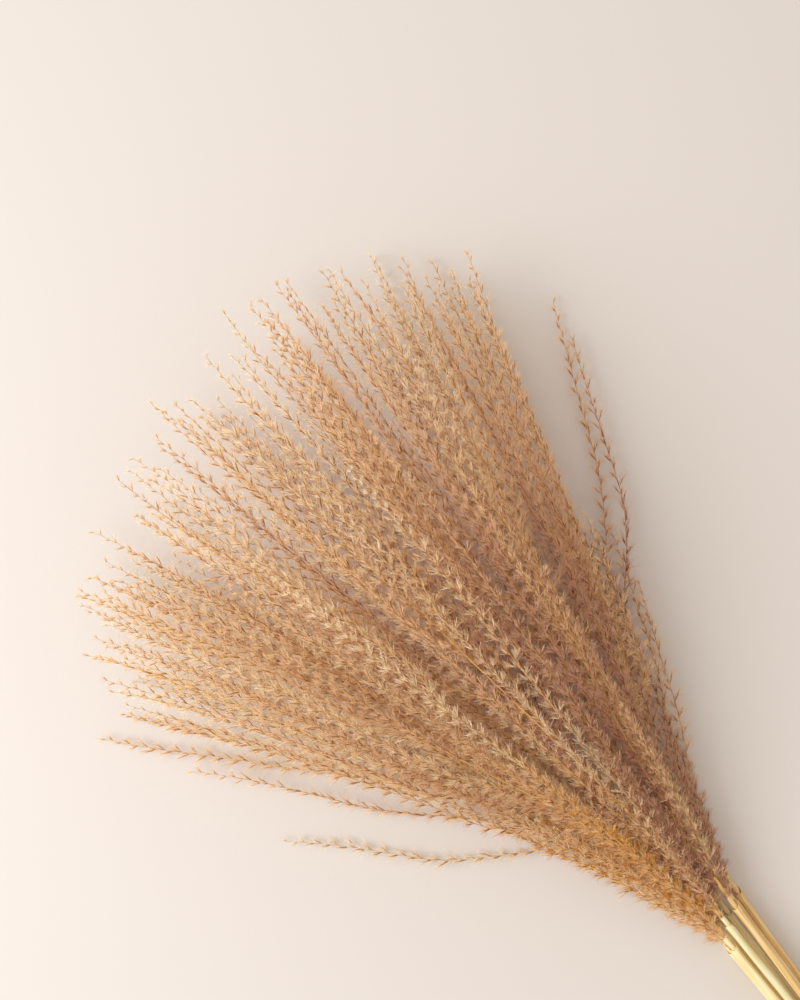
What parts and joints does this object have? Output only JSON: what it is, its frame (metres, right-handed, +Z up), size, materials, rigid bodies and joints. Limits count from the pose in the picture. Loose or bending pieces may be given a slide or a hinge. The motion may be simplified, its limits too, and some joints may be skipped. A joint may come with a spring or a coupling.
{
  "type": "bundle of dried miscanthus",
  "caption": "Tied bundle of dried silvergrass lying flat: bare straw stems with papery leaf sheaths, and a nodding fan of silky golden-brown plumes.",
  "frame": {"origin": "bottom centre of the bundle's bounding box, on the surface it lies on", "axes": "+X along the bundle from the cut ends to the plume tips, +Y towards the side the plumes nod to, +Z up"},
  "size_m": [0.784, 0.3572, 0.1143],
  "materials": {
    "culm": "smooth dry straw, slightly glossy",
    "sheath": "papery, striated, matte",
    "plume": "silky fibrous, soft sheen",
    "twine": "coarse natural fibre, matte"
  },
  "bodies": {
    "root": {"stem_01": "culm", "sheath_01": "sheath", "plume_01": "plume", "stem_02": "culm", "sheath_02": "sheath", "plume_02": "plume", "stem_03": "culm", "sheath_03": "sheath", "plume_03": "plume", "stem_04": "culm", "sheath_04": "sheath", "plume_04": "plume", "stem_05": "culm", "sheath_05": "sheath", "plume_05": "plume", "stem_06": "culm", "sheath_06": "sheath", "plume_06": "plume", "stem_07": "culm", "sheath_07": "sheath", "plume_07": "plume", "stem_08": "culm", "sheath_08": "sheath", "plume_08": "plume", "stem_09": "culm", "sheath_09": "sheath", "plume_09": "plume", "stem_10": "culm", "sheath_10": "sheath", "plume_10": "plume", "tie": "twine"}
  },
  "joints": []
}
